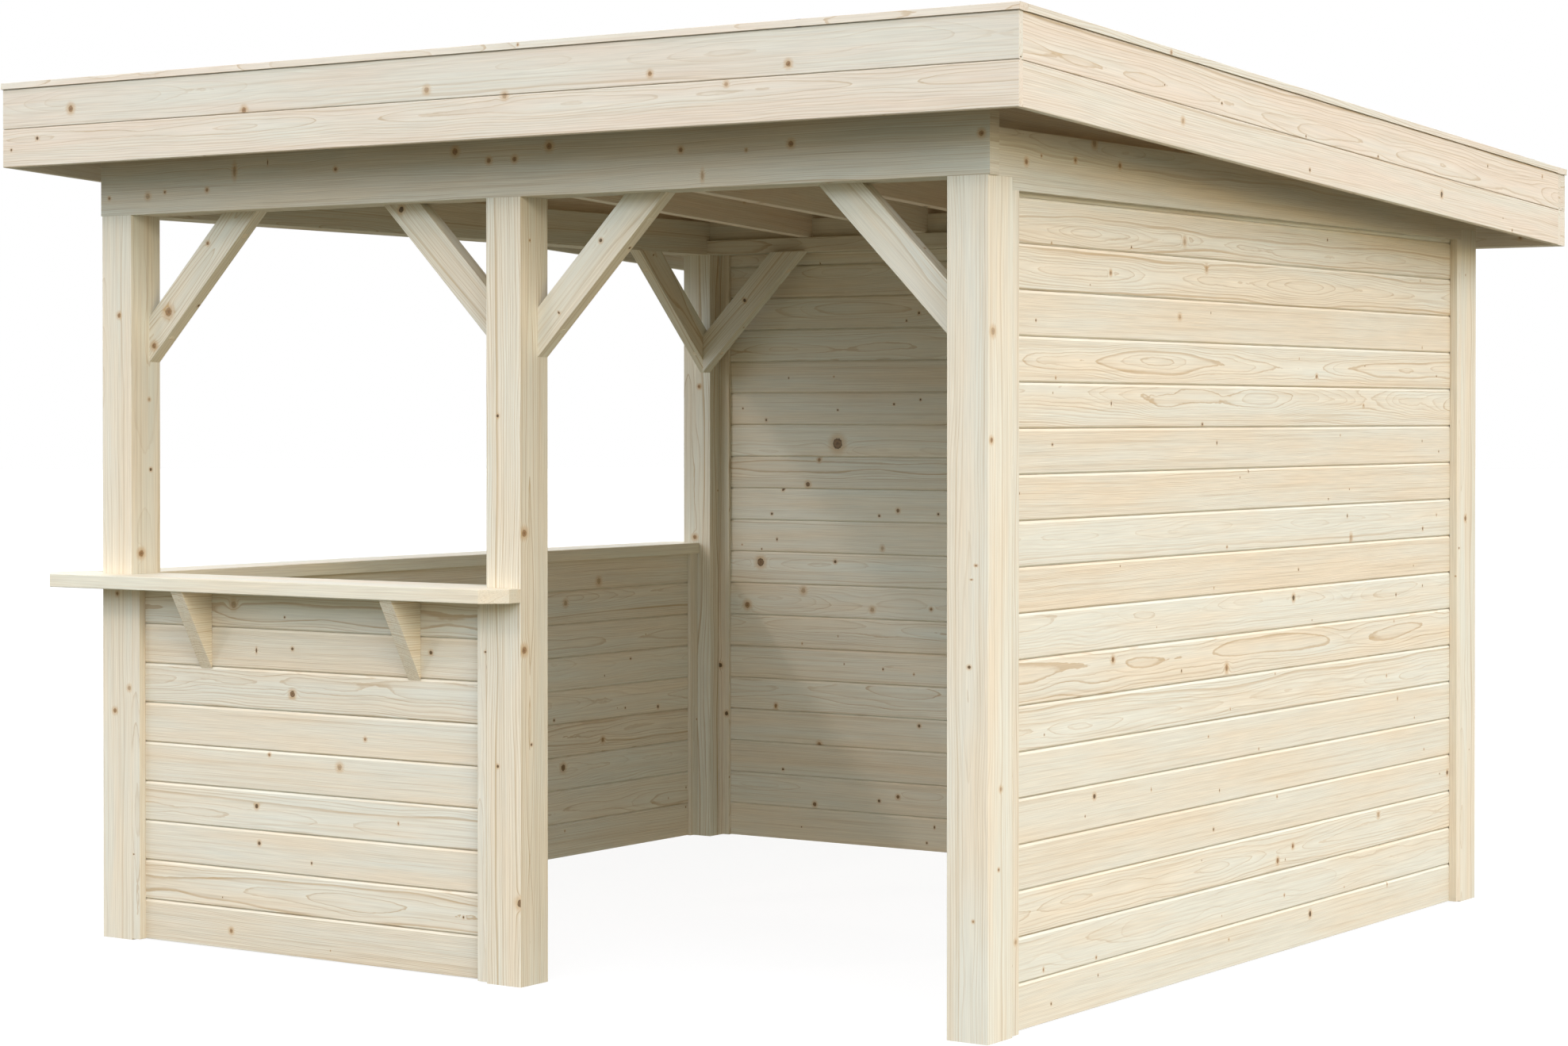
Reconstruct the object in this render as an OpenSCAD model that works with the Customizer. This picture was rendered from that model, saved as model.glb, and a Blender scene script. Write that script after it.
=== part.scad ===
// Square wooden garden gazebo with a single-slope roof, two full boarded
// sides, a half wall on the left, and a counter over a half wall in the left
// front bay. The right front bay is the way in.
// Origin: centre of the ground rectangle under the roof, on the ground.
// +X right, +Y from the front (high side of the roof) to the back, +Z up.
// Inside seat() the posts stand on x = -hw .. hw and y = 0 .. frame_d.

/* [Frame] */
// outside width of the post frame
frame_w = 3080; // [2800:10:3400]
// outside depth of the post frame
frame_d = 3080; // [2800:10:3400]
// side of a square post and height of a beam
post_s = 120; // [100:5:130]
// height of the posts, up to the underside of the beams
post_h = 2157.5; // [2000:0.5:2300]
// thickness of the header board on the front
header_t = 45; // [35:1:60]
// how far the header's ends stand past the posts
header_proud = 4.5; // [0:0.5:8]
// thickness of the ledger strip inside the back beam
ledger_t = 20; // [12:1:30]

/* [Roof] */
// slope of the roof in degrees, falling to the back
roof_pitch = 3.01; // [2:0.01:3.2]
// height of the rafters' underside over the front face of the posts
rafter_z = 2364; // [2355:1:2400]
// thickness of a rafter
rafter_t = 45; // [35:1:60]
// depth of a rafter
rafter_h = 135; // [110:1:160]
// distance from one rafter to the next
rafter_pitch = 493.3; // [440:0.1:500]
// right face of the first inner rafter, from the right side of the frame
rafter_first = 530.8; // [500:0.1:560]
// inset of the two edge rafters from the sides of the frame
edge_inset = 37.5; // [20:0.5:60]
// thickness of the roof boards
deck_t = 20; // [16:1:25]
// overhang of the roof in front of the posts
over_front = 203; // [150:1:260]
// overhang of the roof past each side
over_side = 205; // [150:1:260]
// overhang of the roof behind the posts
over_back = 245; // [200:1:300]

/* [Roof edge] */
// height of the fascia
fascia_h = 231.5; // [200:0.5:250]
// thickness of the fascia
fascia_t = 20; // [16:1:25]
// thickness of the outer layer of the back fascia
back_layer_t = 38; // [25:1:50]
// thickness of the trim that lies on the roof edge
trim_t = 19.5; // [10:0.5:20]
// width of the trim
trim_w = 42; // [35:1:60]
// how far the trim stands past the fascia
trim_proud = 5; // [2:1:10]

/* [Walls] */
// thickness of the boarding
board_t = 25; // [20:1:30]
// how far the boarding lies behind the faces of the posts
board_in = 25; // [15:1:32]
// gap under the boarding
wall_gap = 4; // [2:1:15]
// top of the half walls, underside of the counter and of the rail
half_h = 1050; // [900:5:1150]
// width of an outer batten
batten_w = 32; // [25:1:45]
// width of an inner batten
inner_w = 45; // [30:1:60]
// thickness of an inner batten
inner_t = 13; // [8:1:20]
// height of the strip under the beams of the two full walls
strip_h = 32; // [25:1:45]

/* [Counter] */
// thickness of the counter and of the rail
top_t = 39; // [30:1:45]
// how far they stand past the faces of the posts
top_out = 110; // [80:5:160]
// how far the counter's left end stands past the frame
top_end = 170; // [120:5:220]
// length of the cut corners, along each side
corner = 60; // [30:5:80]
// how far the rail's inner edge lies outside the posts' inner faces
rail_in = 48; // [20:1:60]
// thickness of a bracket under the counter
bracket_t = 45; // [30:1:60]
// reach of a bracket from the boarding
bracket_l = 127; // [90:1:130]
// height of a bracket
bracket_h = 231; // [180:1:260]
// left face of the left bracket, from the left side of the frame
bracket_1 = 379; // [250:1:450]
// left face of the right bracket, from the left side of the frame
bracket_2 = 1178; // [1000:1:1300]

/* [Braces] */
// reach of a brace along the post and along the beam
brace_l = 436; // [350:1:450]
// width of a brace
brace_w = 96; // [80:1:110]
// thickness of a brace
brace_t = 45; // [35:1:60]

/* [Hidden] */
$fn = 32;
hw = frame_w / 2;
m = tan(roof_pitch);
c = cos(roof_pitch);
yb = frame_d;                          // back face of the posts
yin = frame_d - post_s;                // inner face of the back posts
xin = hw - post_s;                     // inner face of the side posts
yff = -over_front;                     // outer face of the front fascia
ybf = frame_d + over_back;             // outer face of the back fascia
ymid = (yff + ybf) / 2;
xf = hw + over_side;                   // outer faces of the side fascias
beam_z = post_h + post_s;              // top of the side and back beams
yi0 = yff + fascia_t;                  // roof frame starts behind the front fascia
yi1 = ybf - back_layer_t - fascia_t;   // and ends at the back fascia
top_z = half_h + top_t;
function under(y) = rafter_z - m * y;              // underside of the rafters
function over(y) = under(y) + rafter_h / c;        // top of the rafters
function deck(y) = over(y) + deck_t / c;           // top of the roof boards
function trim(y) = deck(y) + trim_t / c;           // top of the trim

wood_post = [0.93, 0.87, 0.74];
wood_beam = [0.86, 0.80, 0.66];
wood_roof = [0.76, 0.66, 0.48];
wood_face = [0.96, 0.92, 0.83];
wood_wall = [0.92, 0.87, 0.74];
wood_top = [0.97, 0.94, 0.86];

module seat() translate([0, -ymid, 0]) children();

// box from corner a to corner b
module bar(a, b) translate(a) cube(b - a);

// profile in the Y-Z plane, from x0 to x1
module slice_x(x0, x1, pts)
    translate([x0, 0, 0]) rotate([90, 0, 90]) linear_extrude(x1 - x0) polygon(pts);

// ---- posts and beams ----
module post(x, y) color(wood_post) seat() translate([x, y, 0]) cube([post_s, post_s, post_h]);

module post_front_left() post(-hw, 0);
module post_front_middle() post(-post_s / 2, 0);
module post_front_right() post(xin, 0);
module post_back_left() post(-hw, yin);
module post_back_right() post(xin, yin);

module front_header() color(wood_beam) seat()
    slice_x(-hw - header_proud, hw + header_proud,
        [[0, post_h], [header_t, post_h], [header_t, under(header_t)], [0, under(header_t)]]);

module front_beam() color(wood_beam) seat()
    bar([-xin, header_t, post_h], [xin, post_s, beam_z]);

module side_beam(x) color(wood_beam) seat()
    bar([x, header_t, post_h], [x + post_s, yb, beam_z]);
module left_beam() side_beam(-hw);
module right_beam() side_beam(xin);

module back_beam() color(wood_beam) seat() bar([-xin, yin, post_h], [xin, yb, beam_z]);

module back_ledger() color(wood_post) seat()
    bar([-xin, yin - ledger_t, post_h], [xin, yin, under(yin)]);

// ---- roof ----
// inner rafters run over the header, are notched over the back beam and end
// at the fascias
module rafters() color(wood_roof) seat() for (i = [0:4])
    let (x = hw - rafter_first - i * rafter_pitch)
    slice_x(x - rafter_t, x, [[yi0, under(yi0)], [yin, under(yin)], [yin, beam_z],
        [yi1, beam_z], [yi1, over(yi1)], [yi0, over(yi0)]]);

// edge rafters lie on the side beams, tapering with the roof
module edge_rafters() color(wood_roof) seat() for (s = [-1, 1])
    let (x = s * (hw - edge_inset - rafter_t / 2))
    slice_x(x - rafter_t / 2, x + rafter_t / 2, [[yi0, under(yi0)], [header_t, under(header_t)],
        [header_t, beam_z], [yi1, beam_z], [yi1, over(yi1)], [yi0, over(yi0)]]);

module roof_deck() color(wood_roof) seat()
    slice_x(-xf + fascia_t, xf - fascia_t,
        [[yi0, over(yi0)], [yi1, over(yi1)], [yi1, deck(yi1)], [yi0, deck(yi0)]]);

module fascia(x0, x1, y0, y1) color(wood_face) seat()
    slice_x(x0, x1, [[y0, deck(y0) - fascia_h], [y1, deck(y1) - fascia_h], [y1, deck(y1)], [y0, deck(y0)]]);
module fascia_front() fascia(-xf, xf, yff, yi0);
module fascia_left() fascia(-xf, -xf + fascia_t, yi0, yi1);
module fascia_right() fascia(xf - fascia_t, xf, yi0, yi1);
module fascia_back() fascia(-xf, xf, yi1, yi1 + fascia_t);
module fascia_back_outer() fascia(-xf, xf, yi1 + fascia_t, ybf);

module trim_piece(x0, x1, y0, y1) color(wood_face) seat()
    slice_x(x0, x1, [[y0, deck(y0)], [y1, deck(y1)], [y1, trim(y1)], [y0, trim(y0)]]);
tx = xf + trim_proud;
ty0 = yff - trim_proud;
ty1 = ybf + trim_proud;
module roof_trim_front() trim_piece(-tx, tx, ty0, ty0 + trim_w);
module roof_trim_back() trim_piece(-tx, tx, ty1 - trim_w - back_layer_t, ty1);
module roof_trim_left() trim_piece(-tx, -tx + trim_w, ty0 + trim_w, ty1 - trim_w - back_layer_t);
module roof_trim_right() trim_piece(tx - trim_w, tx, ty0 + trim_w, ty1 - trim_w - back_layer_t);

// ---- walls ----
wo = hw - board_in;                    // outer face of the side boarding
wi = wo - board_t;                     // inner face of the side boarding
bo = yb - board_in;                    // outer face of the back boarding
bi = bo - board_t;                     // inner face of the back boarding

module right_wall() color(wood_wall) seat() bar([wi, post_s, wall_gap], [wo, yin, post_h]);
module back_wall() color(wood_wall) seat() bar([-xin, bi, wall_gap], [xin, bo, post_h]);
module left_half_wall() color(wood_wall) seat() bar([-wo, post_s, wall_gap], [-wi, yin, half_h]);
module front_half_wall() color(wood_wall) seat()
    bar([-xin, board_in, wall_gap], [-post_s / 2, board_in + board_t, half_h]);

// battens beside the posts, outside and inside a side wall; s = 1 right, -1 left
module side_battens(s, z_out, z_in) {
    for (y = [post_s, yin - batten_w])
        bar([s > 0 ? wo : -hw, y, wall_gap], [s > 0 ? hw : -wo, y + batten_w, z_out]);
    for (y = [post_s, yin - inner_w])
        bar([s > 0 ? wi - inner_t : -wi, y, wall_gap], [s > 0 ? wi : -wi + inner_t, y + inner_w, z_in]);
}
module right_wall_battens() color(wood_post) seat() side_battens(1, post_h - strip_h, post_h);
module left_wall_battens() color(wood_post) seat() side_battens(-1, half_h, half_h);
module back_wall_battens() color(wood_post) seat() {
    for (x = [-xin, xin - batten_w]) bar([x, bo, wall_gap], [x + batten_w, yb, post_h - strip_h]);
    for (x = [-xin, xin - inner_w]) bar([x, bi - inner_t, wall_gap], [x + inner_w, bi, post_h]);
}
module front_wall_battens() color(wood_post) seat() {
    for (x = [-xin, -post_s / 2 - batten_w]) bar([x, 0, wall_gap], [x + batten_w, board_in, half_h]);
    for (x = [-xin, -post_s / 2 - inner_w])
        bar([x, board_in + board_t, wall_gap], [x + inner_w, board_in + board_t + inner_t, half_h]);
}
module wall_top_strips() color(wood_beam) seat() {
    bar([wo, post_s, post_h - strip_h], [hw, yin, post_h]);
    bar([-xin, bo, post_h - strip_h], [xin, yb, post_h]);
}

// ---- counter and rail ----
module counter_top() color(wood_top) seat() translate([0, 0, half_h]) linear_extrude(top_t) difference() {
    polygon([[-hw - top_end, corner - top_out], [-hw - top_out, -top_out],
        [post_s / 2 - corner, -top_out], [post_s / 2, corner - top_out], [post_s / 2, 0],
        [-post_s / 2, 0], [-post_s / 2, post_s], [-hw - top_out, post_s],
        [-hw - top_end, post_s - corner]]);
    translate([-hw, 0]) square(post_s);
}

module left_wall_rail() color(wood_top) seat() translate([0, 0, half_h]) linear_extrude(top_t)
    polygon([[-hw - top_out, post_s], [-xin - rail_in, post_s], [-xin - rail_in, yin], [-hw, yin],
        [-hw, yb], [-hw - top_out + corner, yb], [-hw - top_out, yb - corner]]);

module counter_brackets() color(wood_post) seat() for (x = [bracket_1, bracket_2])
    slice_x(-hw + x, -hw + x + bracket_t,
        [[board_in, half_h], [board_in, half_h - bracket_h], [board_in - bracket_l, half_h]]);

// ---- braces ----
// drawn from a corner of post and beam at the origin, running along +X
module brace() {
    a = brace_w * sqrt(2);
    rotate([90, 0, 0]) translate([0, 0, -brace_t]) linear_extrude(brace_t)
        polygon([[0, -brace_l], [brace_l, 0], [brace_l - a, 0], [0, -brace_l + a]]);
}
// on the front posts, flush with their inner faces
module front_brace(x, s) color(wood_post) seat()
    translate([x, post_s - brace_t, post_h]) scale([s, 1, 1]) brace();
module brace_front_left() front_brace(-xin, 1);
module brace_front_middle_left() front_brace(-post_s / 2, -1);
module brace_front_middle_right() front_brace(post_s / 2, 1);
module brace_front_right() front_brace(xin, -1);
// along the back wall, flush with the inner faces of the back posts
module back_brace(s) color(wood_post) seat()
    translate([-s * xin, yin, post_h]) scale([s, 1, 1]) brace();
module brace_back_left() back_brace(1);
module brace_back_right() back_brace(-1);
// along the sides, from the back posts forward
module side_brace(s) color(wood_post) seat()
    translate([s * xin, yin, post_h]) scale([s, 1, 1]) rotate([0, 0, -90]) brace();
module brace_left_back() side_brace(-1);
module brace_right_back() side_brace(1);

post_front_left();
post_front_middle();
post_front_right();
post_back_left();
post_back_right();
front_header();
front_beam();
left_beam();
right_beam();
back_beam();
back_ledger();
rafters();
edge_rafters();
roof_deck();
fascia_front();
fascia_left();
fascia_right();
fascia_back();
fascia_back_outer();
roof_trim_front();
roof_trim_back();
roof_trim_left();
roof_trim_right();
right_wall();
back_wall();
left_half_wall();
front_half_wall();
right_wall_battens();
back_wall_battens();
left_wall_battens();
front_wall_battens();
wall_top_strips();
counter_top();
counter_brackets();
left_wall_rail();
brace_front_left();
brace_front_middle_left();
brace_front_middle_right();
brace_front_right();
brace_back_left();
brace_back_right();
brace_left_back();
brace_right_back();
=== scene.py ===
"""Visual model of the square wooden gazebo: every timber and board as its own
closed, chamfered solid in unfinished spruce, in place of its CAD node."""

import math
import random
import zlib

import bpy
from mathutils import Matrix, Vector


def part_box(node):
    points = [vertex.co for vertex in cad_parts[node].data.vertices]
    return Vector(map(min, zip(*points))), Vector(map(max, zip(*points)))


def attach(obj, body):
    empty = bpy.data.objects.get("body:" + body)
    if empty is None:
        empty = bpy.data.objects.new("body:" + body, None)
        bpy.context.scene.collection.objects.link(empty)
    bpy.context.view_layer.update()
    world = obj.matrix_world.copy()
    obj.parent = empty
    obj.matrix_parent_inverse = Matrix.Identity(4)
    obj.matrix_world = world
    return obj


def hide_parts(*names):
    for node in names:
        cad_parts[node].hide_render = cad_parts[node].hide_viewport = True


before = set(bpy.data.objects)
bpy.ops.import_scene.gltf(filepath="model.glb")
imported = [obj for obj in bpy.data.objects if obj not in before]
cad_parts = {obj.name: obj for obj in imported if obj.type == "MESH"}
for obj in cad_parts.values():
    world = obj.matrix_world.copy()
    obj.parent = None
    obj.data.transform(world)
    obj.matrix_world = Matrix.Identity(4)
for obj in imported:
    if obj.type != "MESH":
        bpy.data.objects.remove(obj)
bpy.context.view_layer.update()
scene = bpy.context.scene

# ---------------------------------------------------------------- positions
A_LO, A_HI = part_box("post_front_left")
C_LO, C_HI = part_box("post_front_right")
E_LO, E_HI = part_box("post_back_left")
M_LO, M_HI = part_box("post_front_middle")
PS = A_HI.x - A_LO.x  # side of a post
HW = C_HI.x  # half width of the post frame
YF, YB = A_LO.y, E_HI.y  # front and back faces of the posts
XIN, YIN = HW - PS, YB - PS
PH = A_HI.z  # top of the posts
D_LO, D_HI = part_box("roof_deck")
DECK_T = 0.020
PITCH = math.radians(3.01)
COS, SIN, TAN = math.cos(PITCH), math.sin(PITCH), math.tan(PITCH)


def deck_z(y):
    """Height of the top of the roof boards."""
    return D_HI.z - TAN * (y - D_LO.y)


# ---------------------------------------------------------------- mesh code
X, Y, Z = Vector((1, 0, 0)), Vector((0, 1, 0)), Vector((0, 0, 1))
DOWN = Vector((0, COS, -SIN))  # along the roof, towards the back
UPR = Vector((0, SIN, COS))  # square to the roof
# the knots that stand out, as (place on a face, reach of their tone along and across
# in millimetres, an eighth more than the knot's own radius, s soft, b brown, r ringed or k dark); the other boards get theirs
# at random
KNOT_TABLE = (
    (-1.460, -1.764, 2.46, 10.4, 10.4, "b"), (-0.770, -1.764, 2.42, 8.9, 8.9, "b"), (0.650, -1.764, 2.44, 6.7, 6.7, "b"),
    (1.080, -1.764, 2.44, 7.9, 7.9, "b"), (-1.710, -1.764, 2.35, 3.5, 3.5, "k"), (-1.600, -1.764, 2.38, 5.1, 5.1, "k"),
    (0.890, -1.764, 2.40, 6.0, 6.0, "s"), (0.170, -1.764, 2.41, 8.4, 8.4, "s"), (-0.100, -1.764, 2.44, 8.6, 8.6, "s"),
    (-1.510, -1.561, 2.21, 4.7, 4.7, "b"), (-1.350, -1.561, 2.21, 8.2, 8.2, "s"), (-1.280, -1.561, 2.22, 4.2, 4.2, "b"),
    (-1.110, -1.561, 2.22, 6.0, 6.0, "b"), (-1.000, -1.561, 2.27, 6.4, 16.1, "s"), (-0.870, -1.561, 2.29, 1.7, 6.9, "k"),
    (-0.860, -1.561, 2.22, 6.8, 6.8, "s"), (-0.610, -1.561, 2.26, 5.8, 5.8, "b"), (-0.170, -1.561, 2.29, 9.8, 9.8, "b"),
    (-0.050, -1.561, 2.26, 7.6, 7.6, "b"), (0.040, -1.561, 2.26, 7.6, 7.6, "b"), (0.160, -1.561, 2.29, 9.7, 9.7, "b"),
    (0.600, -1.561, 2.26, 6.7, 6.7, "b"), (0.810, -1.561, 2.25, 4.1, 4.1, "s"), (0.950, -1.561, 2.26, 8.2, 8.2, "b"),
    (0.670, -1.561, 2.19, 4.6, 11.4, "s"), (1.520, -1.561, 2.26, 7.5, 7.5, "b"), (1.540, -1.531, 2.21, 3.5, 3.5, "b"),
    (1.540, -1.374, 2.20, 7.6, 7.6, "b"), (1.540, -1.298, 2.22, 3.2, 3.2, "b"), (1.540, -1.122, 2.22, 6.1, 6.1, "b"),
    (1.540, -0.883, 2.22, 6.7, 6.7, "b"), (1.540, -1.021, 2.27, 10.3, 10.3, "s"), (1.520, -0.019, 2.05, 5.4, 6.8, "k"),
    (1.520, -0.928, 1.95, 7.3, 7.3, "s"), (1.520, -0.534, 1.95, 13.0, 26.0, "s"), (1.520, -0.672, 1.90, 9.6, 9.6, "s"),
    (1.520, -0.431, 1.90, 8.7, 8.7, "s"), (1.520, 0.120, 1.95, 8.0, 16.1, "s"), (1.520, -0.184, 1.89, 8.9, 8.9, "b"),
    (1.520, -1.173, 1.83, 3.1, 3.1, "k"), (1.520, -0.996, 1.73, 3.7, 3.7, "b"), (1.520, -0.801, 1.72, 10.5, 11.6, "r"),
    (1.520, -0.487, 1.74, 2.6, 2.6, "b"), (1.520, -0.378, 1.74, 3.3, 3.3, "b"), (1.520, -0.149, 1.69, 4.5, 4.5, "k"),
    (1.520, -1.201, 1.70, 2.6, 2.6, "b"), (1.520, -0.561, 1.38, 3.2, 3.2, "k"), (1.520, 0.990, 1.46, 17.3, 17.3, "b"),
    (1.520, -0.679, 1.01, 13.9, 13.9, "r"), (1.520, 0.640, 1.02, 14.4, 14.4, "r"), (1.520, -0.030, 0.43, 14.7, 14.7, "b"),
    (1.520, -0.731, 0.38, 12.8, 12.8, "b"), (1.520, -0.625, 1.20, 6.5, 6.5, "r"), (1.520, -0.467, 1.21, 4.4, 4.4, "k"),
    (1.520, -0.290, 1.22, 5.5, 5.5, "r"), (1.520, -0.212, 1.20, 4.5, 4.5, "k"), (1.520, 0.854, 1.31, 7.3, 7.3, "k"),
    (1.520, 0.901, 1.40, 4.9, 4.9, "k"), (1.520, 1.162, 1.20, 5.0, 5.0, "k"), (1.520, 1.243, 1.22, 5.5, 5.5, "k"),
    (1.520, 0.968, 1.03, 6.2, 6.2, "k"), (1.520, -0.476, 1.14, 5.4, 5.4, "s"), (1.520, -1.059, 1.09, 6.2, 6.2, "k"),
    (1.520, -0.021, 1.03, 7.3, 7.3, "k"), (1.520, 0.237, 1.58, 3.5, 3.5, "k"), (1.520, 0.159, 1.28, 4.6, 4.6, "k"),
    (1.520, 0.065, 1.18, 4.6, 4.6, "k"), (1.520, 0.697, 1.19, 4.8, 4.8, "k"), (1.520, 0.300, 2.04, 14.0, 14.0, "r"),
    (1.520, 0.099, 0.28, 7.3, 7.3, "k"), (1.520, -0.663, 0.05, 3.9, 9.7, "k"), (1.540, -1.538, 1.77, 9.8, 9.8, "s"),
    (1.540, -1.545, 1.50, 6.9, 6.9, "b"), (1.540, -1.498, 0.63, 5.9, 5.9, "s"), (1.540, -1.509, 0.43, 3.9, 3.9, "b"),
    (-0.800, -1.536, 0.76, 9.1, 9.1, "r"), (-0.800, -1.536, 0.89, 4.6, 4.6, "k"), (-0.940, -1.536, 0.88, 2.8, 6.9, "k"),
    (-0.280, -1.536, 0.90, 5.5, 5.5, "k"), (-0.890, -1.536, 0.58, 4.6, 4.6, "b"), (-0.620, -1.536, 0.56, 9.0, 9.0, "s"),
    (-1.030, -1.536, 1.01, 10.4, 10.4, "s"), (-0.830, -1.536, 0.98, 2.7, 2.7, "k"), (-1.480, -1.561, 1.03, 5.9, 5.9, "b"),
    (-1.490, -1.561, 0.68, 7.1, 7.1, "b"), (-1.430, -1.561, 0.75, 7.1, 7.1, "s"), (-1.470, -1.561, 1.86, 7.1, 7.1, "b"),
    (-1.420, -1.521, 1.15, 10.7, 10.7, "b"), (-1.420, -1.481, 1.40, 4.7, 4.7, "k"), (-1.420, -1.487, 1.61, 4.7, 4.7, "s"),
    (-0.020, -1.561, 0.60, 4.3, 4.3, "k"), (-0.020, -1.561, 1.56, 4.3, 4.3, "k"), (0.060, -1.545, 1.24, 10.8, 10.8, "b"),
    (0.060, -1.545, 0.92, 10.8, 10.8, "b"), (0.060, -1.514, 0.66, 3.9, 3.9, "k"), (0.060, -1.519, 2.04, 2.6, 2.6, "b"),
    (0.060, -1.563, 0.23, 11.9, 11.9, "r"), (-0.900, 1.469, 1.46, 20.2, 20.2, "r"), (-0.980, 1.469, 1.40, 7.2, 7.2, "b"),
    (-1.030, 1.469, 1.31, 8.7, 8.7, "r"), (-1.140, 1.469, 1.29, 5.3, 5.3, "k"), (-0.640, 1.469, 1.22, 6.6, 6.6, "r"),
    (-0.720, 1.469, 1.20, 4.3, 4.3, "k"), (-0.470, 1.469, 1.21, 4.2, 4.2, "k"), (-1.190, 1.469, 1.20, 4.4, 4.4, "k"),
    (-1.240, 1.469, 1.02, 14.7, 14.7, "r"), (-0.910, 1.469, 1.03, 5.8, 5.8, "k"), (-1.050, 1.469, 0.92, 10.2, 10.2, "s"),
    (-1.300, 1.469, 0.86, 11.8, 11.8, "b"), (-0.750, 1.469, 0.86, 8.6, 8.6, "s"), (-0.500, 1.469, 0.87, 5.7, 5.7, "b"),
    (-0.550, 1.469, 0.45, 5.7, 5.7, "k"), (-0.980, 1.469, 0.36, 8.7, 8.7, "b"), (-1.140, 1.469, 0.26, 4.4, 4.4, "k"),
    (-1.000, 1.469, 0.14, 7.5, 7.5, "r"), (-0.640, 1.469, 0.19, 6.6, 6.6, "r"), (-0.720, 1.469, 0.17, 5.2, 5.2, "k"),
    (-1.490, 0.606, 0.32, 11.2, 11.2, "r"), (-1.490, 0.836, 0.40, 8.5, 8.5, "b"), (-1.490, 0.620, 0.90, 9.8, 9.8, "s"),
    (-1.490, 0.813, 0.97, 11.3, 11.3, "s"), (-1.470, 1.399, 1.67, 6.8, 6.8, "b"), (-1.490, 1.399, 1.11, 8.9, 8.9, "b"),
    (-1.180, -1.486, 2.07, 5.8, 5.8, "b"), (-1.340, -1.486, 1.87, 14.2, 14.2, "b"), (-1.400, -1.486, 1.77, 9.5, 9.5, "b"),
    (-1.340, 1.399, 1.87, 14.6, 14.6, "b"), (-1.410, 1.399, 1.77, 10.3, 10.3, "b"), (-1.170, 1.399, 2.07, 5.8, 5.8, "b"),
    (1.520, 0.037, 0.28, 6.8, 6.8, "k"), (1.520, 0.146, 0.26, 5.8, 5.8, "k"),
)
KIND = {"s": 0.32, "b": 0.5, "r": 0.8, "k": 1.0}
KNOTS = [(Vector(k[:3]), k[3] / 1120, k[4] / 1120, KIND[k[5]]) for k in KNOT_TABLE]
NO_KNOT = ((9.0, 9.0, 1.0), (1.0, 1.0, 0.0))


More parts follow.
